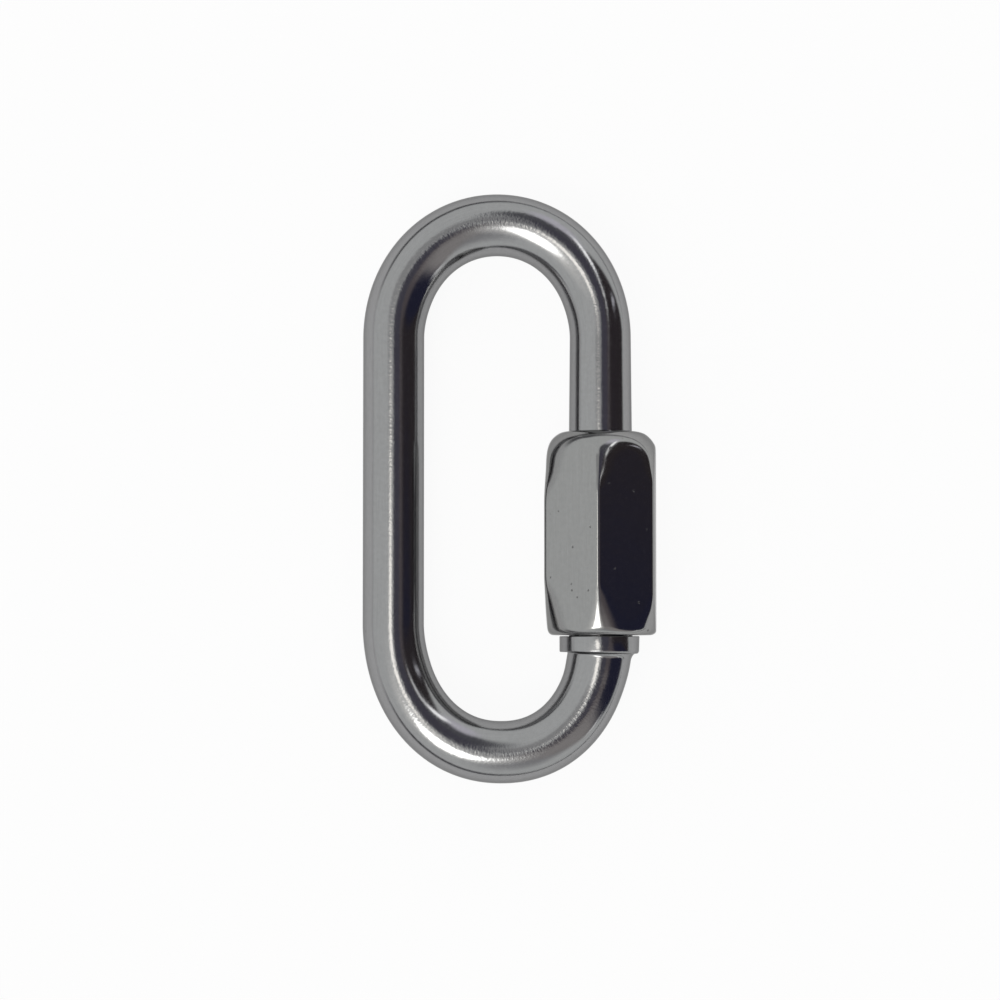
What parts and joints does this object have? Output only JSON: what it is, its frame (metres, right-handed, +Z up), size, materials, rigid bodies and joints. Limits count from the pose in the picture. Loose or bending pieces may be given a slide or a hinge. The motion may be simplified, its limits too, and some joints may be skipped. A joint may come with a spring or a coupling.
{
  "type": "chain quick link",
  "caption": "Oval chain connecting link of bent round bar in polished stainless steel, with a hexagonal sleeve nut screwed across its gate.",
  "frame": {"origin": "centre of the footprint of the link lying at rest, on the surface it lies on", "axes": "+Y along the link from the collar end to the free end of the sleeve nut, which is the way the nut travels to open the gate; +X across the link towards the gate arm; +Z up"},
  "size_m": [0.0286, 0.057, 0.0118],
  "materials": {
    "link_steel": "mirror-polished stainless steel bar with fine polishing lines",
    "nut_steel": "tumble-polished stainless steel with a few small pits and softened edges"
  },
  "bodies": {
    "link": {"link_body": "link_steel"},
    "nut": {"sleeve_nut": "nut_steel"}
  },
  "joints": [
    {"name": "nut_travel", "type": "slide", "parent": "link", "child": "nut", "axis": [0, 1, 0], "range_m": [0, 0.011]}
  ]
}
